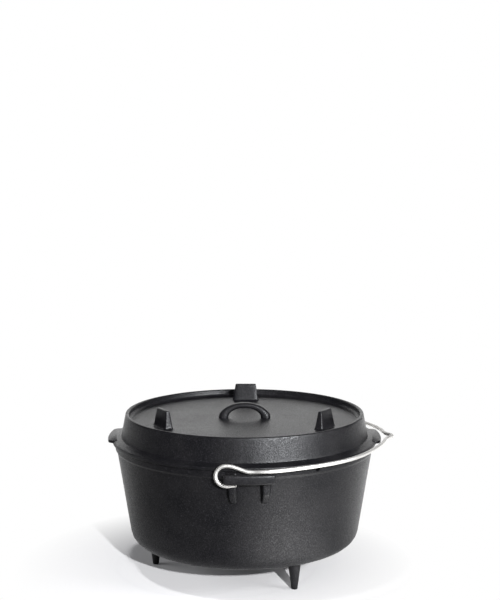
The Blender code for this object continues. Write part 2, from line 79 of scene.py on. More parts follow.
# Thermometer notch in the rim. In half widths from its middle, it ends at NOTCH_LIMIT, the
# columns at its edges stand at NOTCH_EDGE and the wall's even ones start at NOTCH_CLEARING
NOTCH_WIDTH = 6.8 * MM
NOTCH_DEPTH = 6.8 * MM
NOTCH_AZIMUTH = radians(-60.5)
NOTCH_LOWEST = BAND_FOOT - 2.0 * MM
NOTCH_COLUMNS = 17
NOTCH_LIMIT = 1.0001
NOTCH_EDGE = 1.002
NOTCH_CLEARING = 1.5

# Legs under the floor
LEG_AZIMUTHS = {"leg_left": pi, "leg_front_right": -pi / 3, "leg_back_right": pi / 3}
LEG_CIRCLE_RADIUS = 124.9 * MM
LEG_ROOT_RADIUS = 9.0 * MM
LEG_FOOT_RADIUS = 0.96 * 4.3 * MM
LEG_FOOT_ROUND = 1.2 * MM
LEG_FILLET = 5.0 * MM
LEG_FILLET_DROP = 0.3 * MM
LEG_FILLET_RISE = 0.4 * MM

# Ears
BAR_LENGTH = 65.0 * MM
BAR_THICKNESS = 7.0 * MM
BAR_HEIGHT = 12.2 * MM
BAR_END_ROUND = 4.0 * MM
BAR_END_SIZE = 0.35
BAR_SECTION = 2 / 4
BAR_MIDDLE = BAR_FRONT - BAR_THICKNESS / 2
POST_SPACING = 44.0 * MM
POST_RADIUS = 5.8 * MM
POST_WAIST = 0.94
POST_BAND_SWELL = 0.06
POST_BAND_REACH = 3.0 * MM
POST_BAR_SWELL = 0.05
POST_BAR_REACH = 2.0 * MM
POST_END_SINK = 0.5 * MM
POST_LEVEL = RIM_TOP - 7.2 * MM
BAR_TOP = POST_LEVEL + BAR_HEIGHT / 2
RIB_LENGTH = 43.0 * MM
RIB_FACE_WIDTH = 9.0 * MM
RIB_FACE_FOOT_WIDTH = 7.0 * MM
RIB_OUTER_REACH = 11.9 * MM
RIB_OUTER_FOOT_REACH = 5.0 * MM
RIB_INNER_REACH = 7.8 * MM
RIB_INNER_FOOT_REACH = 5.5 * MM
RIB_FOOT_PROUD = 3.2 * MM
RIB_FOOT_SHARE = 0.07
RIB_FOOT_NARROWING = 0.28
RIB_FLANK_SINK = 0.9 * MM
RIB_TOP_DROP = 1.4 * MM
RIB_TOP_SHARE = 0.03
RIB_TOP_ROUND = 1.2 * MM
RIB_EDGE_ROUND = 1.3 * MM
SINK = 2.0 * MM

# Lid casting
LID_TURN = radians(-2.6)
LID_SEAT = RIM_TOP + 0.3 * MM
RIDGE_FOOT = lid_low.z
RIDGE_DRAFT = 0.8 * MM
RIDGE_ROOT_ROUND = 0.6 * MM
LIP_TOP = LID_SEAT + 39.2 * MM
LIP_ROUND = 2.1 * MM
LIP_DRAFT = 0.6 * MM
SKIRT_FOOT_RADIUS = MOUTH_RADIUS - 1.3 * MM
LIP_RADIUS = SKIRT_FOOT_RADIUS - 5.9 * MM
SKIRT_THICKNESS = 4.8 * MM
PLATE_TOP = LIP_TOP - 8.9 * MM
PLATE_UNDERSIDE = PLATE_TOP - 5.0 * MM
PLATE_EDGE_ROUND = 4.5 * MM
PLATE_UNDER_ROUND = 6.0 * MM
FLANGE_RADIUS = lid_high.y
FLANGE_TOP = LID_SEAT + 4.3 * MM
FLANGE_ROUND = 1.3 * MM
SKIRT_FOOT = FLANGE_TOP + 3.1 * MM
SKIRT_FOOT_ROUND = 1.4 * MM
SKIRT_FOOT_STEP = 0.2 * MM
LID_CLEARANCE = 0.7 * MM
TAB_RADIUS = FLANGE_RADIUS + 6.2 * MM
TAB_ROOT_RADIUS = SKIRT_FOOT_RADIUS - 1.5 * MM
TAB_ROOT_STEP = 6.0 * MM
TAB_THICKNESS = 3.6 * MM
TAB_EDGE_INSET = 0.20
TAB_HALF_ANGLE = radians(12.6)
TAB_CORNER = 9.0 * MM
TAB_DROP = 1.7 * MM

# Stub feet and arch handle on the lid
STUB_AZIMUTHS = {"stub_back": 90.0, "stub_front_left": 210.0, "stub_front_right": -30.0}
STUB_CIRCLE_RADIUS = 125.0 * MM
STUB_TOP = lid_high.z
STUB_TOP_WIDTH = 30.0 * MM
STUB_TOP_DEPTH = 5.6 * MM
STUB_TOP_ROUND = 1.1 * MM
STUB_TOP_SHARE = 0.047
STUB_DRAFT = 3.8 * MM
STUB_FLARE = 1.3 * MM
STUB_FLARE_HEIGHT = 0.8 * MM
STUB_SINK = 0.5 * MM
STUB_SECTION = 2 / 7
STUB_RINGS = [0.0, 0.5, 1.0, 1.6, 2.5, 4.0, 6.5, 10.0, 14.0, 18.0, 22.0, 22.6, 23.1, 23.5, 23.75]
ARCH_SPAN = 72.0 * MM
ARCH_RISE = 21.0 * MM
ARCH_OPENING_SPAN = 45.0 * MM
ARCH_OPENING_RISE = 13.5 * MM
ARCH_WIDTH = 13.0 * MM
ARCH_FLARE = 4.0 * MM
ARCH_SECTION = 0.75

# Wire bail
WIRE_RADIUS = 2.5 * MM
WIRE_END_ROUND = 2.6 * MM
WIRE_END_SIZE = 0.35
WIRE_END_TURNS = (0.2, 0.45, 0.7, 0.9)
EYE_HALF_LENGTH = 13.4 * MM
EYE_HALF_HEIGHT = 12.8 * MM
EYE_SET_BACK = 7.0 * MM
EYE_TAIL = 5.3 * MM
EYE_BEND_LENGTH = 34.0 * MM
EYE_CLEARANCE = 0.6 * MM
RIB_FRONT = FLANGE_RADIUS + 1.0 * MM
EYE_PLANE = RIB_FRONT + EYE_CLEARANCE + WIRE_RADIUS
TAIL_DROP = POST_RADIUS + WIRE_RADIUS + EYE_CLEARANCE
EYE_HEIGHT = EYE_HALF_HEIGHT - TAIL_DROP - EYE_CLEARANCE
EYE_REACH = EYE_HALF_LENGTH + EYE_SET_BACK
BOW_RADIUS = TAB_RADIUS + 4.9 * MM + WIRE_RADIUS
BOW_START = radians(70.0)
BOW_END = radians(11.0)
BOW_BULGE = 8.6 * MM
BOW_BULGE_ANGLE = radians(46.0)
BOW_BULGE_SPREAD = radians(17.0)
KINK_REACH = 8.3 * MM
KINK_SPREAD = 13.2 * MM
REST_TILT = radians(4.3)
ARM_LENGTH = 20.0 * MM
SEAT_REACH = 30.0 * MM
ARM_OUTSET = 1.2 * MM
ARM_LEVEL = BAR_TOP + 0.3 * MM + WIRE_RADIUS - POST_LEVEL
ARM_HEIGHT = (ARM_LEVEL - SEAT_REACH * sin(REST_TILT)) / cos(REST_TILT)

# How finely the surfaces are laid out, and how their seams are closed
AROUND = 360
SIDES = 40
WIRE_SIDES = 28
LEG_SIDES = 48
STUB_SIDES = 64
PROFILE_STEP = 3.2 * MM
RIB_LEVELS = 57
POST_RINGS = 25
BAR_RINGS = 61
ARCH_RINGS = 65
TAB_CORNER_POINTS = 12
TAB_TIP_POINTS = 25
TAB_BASE_POINTS = 13
TAB_EDGE_RINGS = 9
POINTS_PER_SPAN = 10
NEARLY_STRAIGHT = radians(89.0)
MOST_OF_A_SIDE = 0.45
WAVE_DEPTH = 0.10 * MM
WAVE_LENGTHS = (30.0, 41.0, 55.0, 70.0, 90.0)
WAVE_SEED = 11
WELD_DISTANCE = 1e-6
SLIVER_LENGTH = 1e-7
CREASE_ANGLE = 50.0
STUB_CREASE_ANGLE = 38.0

# Seasoned iron: each pattern's features to a metre, and how much of it shows
GRAIN_SCALE = 620.0
GRAIN_SHARE = 0.76
GRAIN_DEPTH = 0.46 * MM
PEEL_SCALE = 210.0
OIL_CLOUD_SCALE = 21.0
OIL_CLOUD_RANGE = (0.35, 0.7)
OIL_CLOUD_ROUGHNESS = 0.14
SPECK_SCALE = 780.0
SPECK_RANGE = (0.60, 0.76)
SPECK_ROUGHNESS = 0.46
SPECK_STRENGTH = 0.30
OIL_FILM_SCALE = 700.0
OIL_FILM_RANGE = (0.44, 0.78)
OIL_FILM_WEIGHT = 0.30
IRON_ROUGHNESS = 0.14
IRON_DARK = (0.0016, 0.0016, 0.0020, 1)
IRON_LIGHT = (0.0037, 0.0036, 0.0040, 1)
IRON_SPECK = (0.034, 0.033, 0.038, 1)

# Drawn wire: lines round and along it, and the clouds of its polish
DRAW_LINE_SCALE = (9.0, 14.0, 1.0)
DRAW_LINE_ROUGHNESS = 0.12
POLISH_SCALE = 60.0
POLISH_ROUGHNESS = 0.10
WIRE_ROUGHNESS = 0.42
WIRE_DARK = (0.40, 0.39, 0.375, 1)
WIRE_BRIGHT = (0.49, 0.48, 0.462, 1)

# Floor: its tone, where it fades to a plain glow, and how that glow varies in the pot's
# reflections: (start, end, strength) of two rises and (middle, radius, strength) of patches
WHITE = (1.0, 1.0, 1.0, 1)
FLOOR_RADIUS = 6.0
FLOOR_SIDES = 64
FLOOR_TONE = (0.28, 0.28, 0.286, 1)
FLOOR_GLOW = (0.035, 0.035, 0.037, 1)
FADE_MIDDLE = (-0.04, 0.0, 0.0)
FADE_START = 0.14
FADE_END = 0.28
LEAST_GLOW = 0.28
GLOW_TO_RIGHT = (-0.02, 0.33, 1.0)
GLOW_TO_BACK = (-0.05, 0.25, 0.9)
GLOW_PATCHES = (((0.125, -0.24, 0.0), 0.17, 11.0), ((-0.10, 0.44, 0.0), 0.22, 8.0))

# Lights: azimuth from the camera, positive to its right, then elevation, distance, size,
# power, colour, and the kinds of ray that don't meet it
ROOM_TONE = (0.04, 0.04, 0.042, 1)
NEUTRAL = (1.0, 1.0, 1.0)
LIGHT_TARGET = (0.0, 0.0, 0.12)
LIGHTS = {
    "softbox": (32.0, 21.0, 2.0, (1.3, 0.5), 192.0, (0.95, 0.97, 1.0), ("diffuse",)),
    "lamp": (12.9, 19.7, 2.4, (0.06, 0.06), 260.0, NEUTRAL, ("glossy",)),
    "overhead": (-45.0, 73.0, 2.2, (0.12, 0.12), 45.0, NEUTRAL, ("glossy",)),
    "fill": (-95.0, 16.0, 2.2, (1.6, 0.7), 50.0, NEUTRAL, ("glossy",)),
    "side": (65.0, 24.0, 2.2, (0.9, 0.6), 60.0, NEUTRAL, ("glossy",)),
    "backdrop": (180.0, 14.0, 2.6, (3.6, 1.5), 38.0, NEUTRAL, ()),
}

# Camera
CAMERA_PLACE = (-0.05409, -1.68095, 0.5686)
CAMERA_TILT = radians(83.373)
CAMERA_TURN = radians(-2.1)
SENSOR_WIDTH = 36.0
FOCAL_LENGTH = 88.56


# Surfaces


def rounded(corners, step=PROFILE_STEP, per_round=6):
    """Profile through (radius, height, rounding) corners as an (n, 2) array.

    Each corner is swapped for an arc that touches both of its sides: with t the distance
    rounding / tan(half the corner's angle), the arc runs between the points t away from
    the corner on each side. Straight stretches are then cut into steps.
    """
    corners = np.array(corners, float)
    places = corners[:, :2]
    path = [places[:1]]
    for before, here, after, turn in zip(places, places[1:], places[2:], corners[1:-1, 2]):
        back = (before - here) / np.linalg.norm(before - here)
        ahead = (after - here) / np.linalg.norm(after - here)
        half = np.arccos(np.clip(back @ ahead, -1.0, 1.0)) / 2
        if turn == 0.0 or half > NEARLY_STRAIGHT:
            path.append(here[None])
            continue
        middle = here + (back + ahead) / np.linalg.norm(back + ahead) * turn / sin(half)
        start = here + back * turn / tan(half) - middle
        end = here + ahead * turn / tan(half) - middle
        share = np.linspace(0.0, 1.0, per_round)[:, None]
        sweep = pi - 2 * half
        arc = np.sin((1 - share) * sweep) * start + np.sin(share * sweep) * end
        path.append(middle + arc / sin(sweep))
    path.append(places[-1:])
    return cut_into_steps(np.vstack(path), step)


def cut_into_steps(path, step):
    """The same path with points added so that none lie more than a step apart."""
    gaps = np.linalg.norm(np.diff(path, axis=0), axis=1)
    counts = np.maximum(1, np.ceil(gaps / step)).astype(int)
    start = np.repeat(np.arange(len(counts)), counts)
    before = np.repeat(np.cumsum(counts) - counts, counts)
    share = ((np.arange(counts.sum()) - before) / counts[start])[:, None]
    return np.vstack([path[start] + (path[start + 1] - path[start]) * share, path[-1:]])


def turned(profile, azimuths):
    """Surface of revolution: (r cos a, r sin a, z) for profile point (r, z) and azimuth a."""
    out = profile[:, :1]
    level = np.broadcast_to(profile[:, 1:], (len(profile), len(azimuths)))
    return np.stack([out * np.cos(azimuths), out * np.sin(azimuths), level], axis=-1)


def turned_to(points, azimuth):
    """Points given as (out, along, level), placed out from the pot's axis at an azimuth a:
    x = out cos a - along sin a and y = out sin a + along cos a.
    """
    out, along, level = np.moveaxis(points, -1, 0)
    azimuth = np.asarray(azimuth)
    x = out * np.cos(azimuth) - along * np.sin(azimuth)
    y = out * np.sin(azimuth) + along * np.cos(azimuth)
    return np.stack([x, y, level], axis=-1)


def full_turn(steps=AROUND):
    """Azimuths of one turn, without the repeat of the first."""
    return np.arange(steps) * 2 * pi / steps


def squared_circle(angle, power):
    """The curve |x|^(2 / power) + |y|^(2 / power) = 1, as x and y at each angle: the sign
    and the power of its cosine and its sine. 1 is a circle and 0 a square.
    """
    return [np.sign(wave) * np.abs(wave) ** power for wave in (np.cos(angle), np.sin(angle))]


def smooth_step(share):
    """0 before 0, 1 after 1, and 3 s^2 - 2 s^3 between them."""
    share = np.clip(share, 0.0, 1.0)
    return share * share * (3 - 2 * share)


def skin(grid):
    """Quads between neighbouring points of a grid of rings, each of which closes on itself,
    as corner indices.
    """
    index = np.arange(grid.shape[0] * grid.shape[1]).reshape(grid.shape[:2])
    index = np.hstack([index, index[:, :1]])
    corners = index[:-1, :-1], index[:-1, 1:], index[1:, 1:], index[1:, :-1]
    return np.stack(corners, axis=-1).reshape(-1, 4)


def with_end_caps(grid):
    """The grid with its first and last rings drawn in to their middles."""
    first = np.broadcast_to(grid[0].mean(axis=0), grid[:1].shape)
    last = np.broadcast_to(grid[-1].mean(axis=0), grid[:1].shape)
    return np.concatenate([first, grid, last])


def cast_waves(places, depth):
    """Slow unevenness of a sand casting: minus the square of a sum of five sine waves
    in space, 30 to 90 mm long, scaled so that it lies between minus the depth and zero.
    """
    random = np.random.default_rng(WAVE_SEED)
    total = np.zeros(len(places))
    for length in WAVE_LENGTHS:
        heading = random.normal(size=3)
        heading /= np.linalg.norm(heading)
        total += np.sin(places @ heading * 2 * pi / (length * MM) + random.uniform(0, 2 * pi))
    return -depth * (total / len(WAVE_LENGTHS)) ** 2


def read_vertices(mesh, field):
    """A vector of every vertex, such as its place or its normal, as an (n, 3) array."""
    values = np.empty(len(mesh.vertices) * 3)
    mesh.vertices.foreach_get(field, values)
    return values.reshape(-1, 3)


def add_piece(name, grid, finish, body, waves=0.0, crease=CREASE_ANGLE):
    """Make a piece from a grid of points, weld its seams and poles, and let it ride."""
    mesh = bpy.data.meshes.new(name)
    mesh.from_pydata(grid.reshape(-1, 3), [], skin(grid))
    bm = bmesh.new()
    bm.from_mesh(mesh)
    bmesh.ops.remove_doubles(bm, verts=bm.verts, dist=WELD_DISTANCE)
    bmesh.ops.dissolve_degenerate(bm, edges=bm.edges, dist=SLIVER_LENGTH)
    bmesh.ops.recalc_face_normals(bm, faces=bm.faces)
    bm.to_mesh(mesh)
    bm.free()
    if waves:
        places = read_vertices(mesh, "co")
        moved = places + read_vertices(mesh, "normal") * cast_waves(places, waves)[:, None]
        mesh.vertices.foreach_set("co", moved.ravel())
    mesh.shade_smooth()
    mesh.set_sharp_from_angle(angle=radians(crease))
    mesh.update()
    mesh.materials.append(finish.material)
    piece = bpy.data.objects.new(name, mesh)
    bpy.context.scene.collection.objects.link(piece)
    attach(piece, body)
    return piece


# Shader recipes


class Signal:
    """A socket of a recipe. Arithmetic on it adds Math nodes."""

    def __init__(self, recipe, socket):
        self.recipe = recipe
        self.socket = socket

    def maths(self, operation, first, second):
        """The signal of a Math node on two values."""
        return self.recipe.node("ShaderNodeMath", {"operation": operation}, {0: first, 1: second})

    def __add__(self, other):
        return self.maths("ADD", self, other)

    def __sub__(self, other):
        return self.maths("SUBTRACT", self, other)

    def __rsub__(self, other):
        return self.maths("SUBTRACT", other, self)

    def __mul__(self, other):
        return self.maths("MULTIPLY", self, other)

    __radd__ = __add__
    __rmul__ = __mul__


class Recipe:
    """The nodes of a material, or of the room round it, added to its tree."""

    def __init__(self, tree):
        self.tree = tree

    def node(self, kind, settings=None, inputs=None, output=0):
        """Add a node: its settings first, then the values or links of its sockets."""
        node = self.tree.nodes.new(kind)
        for name, value in (settings or {}).items():
            setattr(node, name, value)
        for name, value in (inputs or {}).items():
            self.feed(node.inputs[name], value)
        return Signal(self, node.outputs[output])

    def feed(self, socket, value):
        """Link a signal to a socket, or set a plain value on it."""
        if isinstance(value, Signal):
            self.tree.links.new(value.socket, socket)
        else:
            socket.default_value = value

    def places(self):
        """Where a point of the surface lies, in the frame's metres."""
        return self.node("ShaderNodeTexCoord", output="Object")

    def noise(self, places, scale, detail=2.0, roughness=0.5):
        """Noise between 0 and 1 with that many features in a metre."""
        inputs = {"Vector": places, "Scale": scale, "Detail": detail, "Roughness": roughness}
        return self.node("ShaderNodeTexNoise", {}, inputs)

    def ramp(self, value, low, high):
        """0 below low, 1 above high and straight between them."""
        inputs = {"Value": value, "From Min": low, "From Max": high}
        return self.node("ShaderNodeMapRange", {"clamp": True}, inputs)

    def blend(self, share, first, second):
        """Mix of two colours by a share from 0 to 1. The colours are sockets 6 and 7, and
        the mix is output 2.
        """
        return self.node("ShaderNodeMix", {"data_type": "RGBA"}, {0: share, 6: first, 7: second}, 2)

    def distance(self, places, point):
        """How far the places are from a point, in metres."""
        settings = {"operation": "DISTANCE"}
        return self.node("ShaderNodeVectorMath", settings, {0: places, 1: point}, "Value")

    def seen_by_camera(self):
        """1 for the camera's own rays and 0 for every other ray."""
        return self.node("ShaderNodeLightPath", output="Is Camera Ray")

    def mixed(self, share, first, second):
        """Mix of two shaders by a share from 0 to 1."""
        return self.node("ShaderNodeMixShader", {}, {0: share, 1: first, 2: second})


class Finish(Recipe):
    """A material whose nodes are added around its Principled shader."""

    def __init__(self, name, **constants):
        self.material = bpy.data.materials.new(name)
        self.material.use_nodes = True
        super().__init__(self.material.node_tree)
        self.shader = self.tree.nodes["Principled BSDF"]
        for socket, value in constants.items():
            self.set(socket.replace("_", " "), value)

    def set(self, socket, value):
        """Feed one socket of the Principled shader."""
        self.feed(self.shader.inputs[socket], value)


def seasoned_iron(name):
    """Black seasoned cast iron. Its height is sand grain with some coarser peel, its
    roughness is slow clouds of oil plus fine specks, which are lighter too, and a thin
    film of oil lies on it in tiny patches as the coat.
    """
    finish = Finish(name, Metallic=0.0, IOR=1.5, Specular_IOR_Level=0.105, Coat_Roughness=0.34)
    places = finish.places()
    grain = finish.noise(places, GRAIN_SCALE, roughness=0.6)
    peel = finish.noise(places, PEEL_SCALE)
    clouds = finish.noise(places, OIL_CLOUD_SCALE, 4.0, 0.6)
    fine = finish.noise(places, SPECK_SCALE, 1.0)
    film = finish.noise(places, OIL_FILM_SCALE, 1.0)
    height = grain * GRAIN_SHARE + peel * (1 - GRAIN_SHARE)
    relief = {"Strength": 1.0, "Distance": GRAIN_DEPTH, "Height": height}
    tone = finish.blend(finish.ramp(clouds, *OIL_CLOUD_RANGE), IRON_DARK, IRON_LIGHT)
    specks = finish.ramp(fine, *SPECK_RANGE) * SPECK_STRENGTH
    tone = finish.blend(specks, tone, IRON_SPECK)
    rough = clouds * OIL_CLOUD_ROUGHNESS + fine * SPECK_ROUGHNESS + IRON_ROUGHNESS
    finish.set("Base Color", tone)
    finish.set("Roughness", rough)
    finish.set("Normal", finish.node("ShaderNodeBump", {}, relief))
    finish.set("Coat Weight", finish.ramp(film, *OIL_FILM_RANGE) * OIL_FILM_WEIGHT)
    return finish


def drawn_wire(name):
    """Bright drawn steel: faint lines along the wire and a slightly uneven polish."""
    finish = Finish(name, Metallic=0.95)
    run = finish.node("ShaderNodeUVMap", {"uv_map": "run"})
    lines = finish.node("ShaderNodeMapping", {}, {"Vector": run, "Scale": DRAW_LINE_SCALE})
    scratches = finish.noise(lines, 1.0)
    clouds = finish.noise(finish.places(), POLISH_SCALE, 3.0)
    rough = clouds * POLISH_ROUGHNESS + scratches * DRAW_LINE_ROUGHNESS + WIRE_ROUGHNESS
    finish.set("Base Color", finish.blend(clouds, WIRE_DARK, WIRE_BRIGHT))
    finish.set("Roughness", rough)
    return finish


# The pot casting


def wall_radius_at(level):
    """Outside radius of the tapered wall at a level."""
    return WALL_RADIUS - (BAND_FOOT - level) * tan(WALL_TAPER)


def make_pot_body(iron):
    """Pot wall and floor: the rounded profile turned about the axis, with the top of the
    rim pressed down to a U where the notch is: z = min(z, bottom of the U at that place).
    """
    floor_top = LEG_HEIGHT + FLOOR_THICKNESS
    inner_corner_round = FLOOR_CORNER_RADIUS - WALL_THICKNESS / 2
    profile = rounded([
        (0.0, LEG_HEIGHT, 0.0),
        (wall_radius_at(LEG_HEIGHT), LEG_HEIGHT, FLOOR_CORNER_RADIUS),
        (WALL_RADIUS, BAND_FOOT - BAND_SLOPE_BELOW, BAND_HOLLOW_ROUND),
        (BAND_RADIUS, BAND_FOOT + BAND_SLOPE_ABOVE, BAND_SHOULDER_ROUND),
        (BAND_RADIUS, RIM_TOP, EDGE_ROUND),
        (MOUTH_RADIUS, RIM_TOP, EDGE_ROUND),
        (MOUTH_RADIUS - MOUTH_DRAFT, BAND_FOOT, MOUTH_BEND_ROUND),
        (wall_radius_at(floor_top) - WALL_BORE, floor_top, inner_corner_round),
        (0.0, floor_top, 0.0),
    ])
    radius = NOTCH_WIDTH / 2
    half_notch = radius / BAND_RADIUS
    fine = np.linspace(-1.0, 1.0, NOTCH_COLUMNS) * half_notch
    edges = np.array([-NOTCH_EDGE, NOTCH_EDGE]) * half_notch
    plain = full_turn() + NOTCH_AZIMUTH
    offsets = (plain - NOTCH_AZIMUTH + pi) % (2 * pi) - pi
    away = offsets[np.abs(offsets) > NOTCH_CLEARING * half_notch]
    offsets = np.sort(np.concatenate([away, fine, edges]))
    grid = turned(profile, offsets + NOTCH_AZIMUTH)
    along = offsets * BAND_RADIUS
    depth = np.sqrt(np.maximum(radius ** 2 - along ** 2, 0.0))
    inside = np.abs(along) <= radius * NOTCH_LIMIT
    bottom = np.where(inside, RIM_TOP - NOTCH_DEPTH + radius - depth, np.inf)
    near_rim = grid[..., 2] > NOTCH_LOWEST
    grid[..., 2] = np.minimum(grid[..., 2], np.where(near_rim, bottom, np.inf))
    piece = add_piece("pot_casting", grid, iron, "pot", waves=WAVE_DEPTH)
    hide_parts("pot")


def make_legs(iron):
    """Legs: a tapered shank turned about its own axis, with a fillet up to the floor."""
    fillet_reach = LEG_ROOT_RADIUS + 2 * LEG_FILLET
    profile = rounded([
        (0.0, 0.0, 0.0),
        (LEG_FOOT_RADIUS, 0.0, LEG_FOOT_ROUND),
        (LEG_ROOT_RADIUS, LEG_HEIGHT - LEG_FILLET_DROP, LEG_FILLET),
        (fillet_reach, LEG_HEIGHT + LEG_FILLET_RISE, 0.0),
        (fillet_reach, LEG_HEIGHT + SINK, 0.0),
        (0.0, LEG_HEIGHT + SINK, 0.0),
    ], step=PROFILE_STEP / 2, per_round=9)
    for name, azimuth in LEG_AZIMUTHS.items():
        leg = turned(profile, full_turn(LEG_SIDES))
        leg[..., 0] += LEG_CIRCLE_RADIUS * cos(azimuth)
        leg[..., 1] += LEG_CIRCLE_RADIUS * sin(azimuth)
        piece = add_piece(name, leg, iron, "pot", waves=WAVE_DEPTH)


def soften(corners, reach, per_round=5):
    """Rows of corners as (rows, corners, 2), each inner corner swapped for the curve
    (1 - t)^2 a + 2t(1 - t) corner + t^2 b, with a and b a reach away on its two sides.
    """
    t = np.linspace(0.0, 1.0, per_round)[None, :, None]

    def towards(side):
        share = reach / np.linalg.norm(side, axis=-1, keepdims=True)
        return side * np.minimum(MOST_OF_A_SIDE, share)

    path = [corners[:, :1]]
    for i in range(1, corners.shape[1] - 1):
        here = corners[:, i:i + 1]
        start = here + towards(corners[:, i - 1:i] - here)
        end = here + towards(corners[:, i + 1:i + 2] - here)
        path.append((1 - t) ** 2 * start + 2 * t * (1 - t) * here + t ** 2 * end)
    path.append(corners[:, -1:])
    return np.concatenate(path, axis=1)


def posts(azimuth):
    """Direction from the pot's axis to each post of an ear, and its side of the ear."""
    half = atan2(POST_SPACING / 2, EYE_PLANE)
    return [(azimuth - half, -1), (azimuth + half, 1)]


def make_rib(name, direction, side, iron):
    """Rib under a post: at each level a flat face between two slanting flanks, where
    out = wall + proud and proud eases from the foot's to the bar's. The outer flank
    reaches the end of the bar at the top.
    """
    top = RIM_TOP - RIB_TOP_DROP
    foot = top - RIB_LENGTH
    share = np.linspace(0.0, 1.0, RIB_LEVELS)
    level = foot + RIB_LENGTH * share
    wall = wall_radius_at(level)
    shoulder = POST_LEVEL - EYE_REACH
    low_front = wall + RIB_FOOT_PROUD
    still_to_go = np.maximum(0.0, RIB_FRONT - low_front)
    front = low_front + smooth_step((level - foot) / (shoulder - foot)) * still_to_go
    begun = np.sqrt(np.clip(share / RIB_FOOT_SHARE, 0.0, 1.0))
    ended = np.sqrt(np.clip((1 - share) / RIB_TOP_SHARE, 0.0, 1.0))
    front = wall + (front - wall) * begun - RIB_TOP_ROUND * (1 - ended)

    def width(at_foot, at_top):
        narrowing = 1 - RIB_FOOT_NARROWING + RIB_FOOT_NARROWING * begun
        return narrowing * (at_foot + share * (at_top - at_foot))

    outer = width(RIB_OUTER_FOOT_REACH, RIB_OUTER_REACH)
    inner = width(RIB_INNER_FOOT_REACH, RIB_INNER_REACH)
    face = width(RIB_FACE_FOOT_WIDTH, RIB_FACE_WIDTH) / 2
    root, flank = wall - SINK, wall - RIB_FLANK_SINK
    along = np.stack([outer, outer, face, -face, -inner, -inner], axis=-1)
    out = np.stack([root, flank, front, front, flank, root], axis=-1)
    ring = soften(np.stack([along, out], axis=-1), RIB_EDGE_ROUND)
    height = np.broadcast_to(level[:, None], ring.shape[:2])
    points = np.stack([ring[..., 1], side * ring[..., 0], height], axis=-1)
    grid = with_end_caps(turned_to(points, direction))
    return add_piece(name, grid, iron, "pot", waves=WAVE_DEPTH / 2)


def make_post(name, azimuth, iron):
    """Post: a round rod along the radius, whose radius grows with the square of how near
    it is to the band and to the bar.
    """
    start = MOUTH_RADIUS + WALL_THICKNESS / 2
    bar_back = BAR_MIDDLE - BAR_THICKNESS / 2
    out = np.linspace(start, BAR_MIDDLE + POST_END_SINK, POST_RINGS)[:, None]
    near_band = np.clip(1 - (out - BAND_RADIUS) / POST_BAND_REACH, 0.0, 1.0)
    near_bar = np.clip(1 - (bar_back - out) / POST_BAR_REACH, 0.0, 1.0)
    swell = POST_BAND_SWELL * near_band ** 2 + POST_BAR_SWELL * near_bar ** 2
    radius = POST_RADIUS * (POST_WAIST + swell)
    angle = full_turn(SIDES)[None]
    across, up = radius * np.cos(angle), POST_LEVEL + radius * np.sin(angle)
    points = np.stack([np.broadcast_to(out, across.shape), across, up], axis=-1)
    return add_piece(name, with_end_caps(turned_to(points, azimuth)), iron, "pot")


def make_bar(name, azimuth, iron):
    """Ear bar: a rounded box section |x/a|^4 + |z/b|^4 = 1 swept along an arc round the
    pot's axis, with ends that round off as a quarter ellipse.
    """
    half_angle = BAR_LENGTH / 2 / BAR_MIDDLE
    end_round = BAR_END_ROUND / BAR_MIDDLE
    turn = half_angle * np.sin(np.linspace(-pi / 2, pi / 2, BAR_RINGS))
    inside = np.clip((half_angle - np.abs(turn)) / end_round, 0.0, 1.0)
    shrink = BAR_END_SIZE + (1 - BAR_END_SIZE) * np.sqrt(1 - (1 - inside) ** 2)
    shrink = shrink[:, None]
    section_out, section_up = squared_circle(full_turn(SIDES), BAR_SECTION)
    out = BAR_MIDDLE + shrink * section_out * BAR_THICKNESS / 2
    height = (1 - 0.5 * (1 - shrink)) * section_up * BAR_HEIGHT / 2
    level = BAR_TOP - BAR_HEIGHT / 2 + height
    points = np.stack([out, np.zeros_like(out), level], axis=-1)
    grid = with_end_caps(turned_to(points, azimuth + turn[:, None]))
    return add_piece(name, grid, iron, "pot", waves=WAVE_DEPTH / 2)


def make_ears(iron):
    """Both ears: a bar on two posts, with a rib below each post."""
    for side, azimuth in (("front", -pi / 2), ("back", pi / 2)):
        pieces = [make_bar(f"{side}_ear_bar", azimuth, iron)]
        for hand, (direction, way) in zip(("a", "b"), posts(azimuth)):
            pieces.append(make_rib(f"{side}_ear_rib_{hand}", direction, way, iron))
            pieces.append(make_post(f"{side}_ear_post_{hand}", direction, iron))


# The lid casting


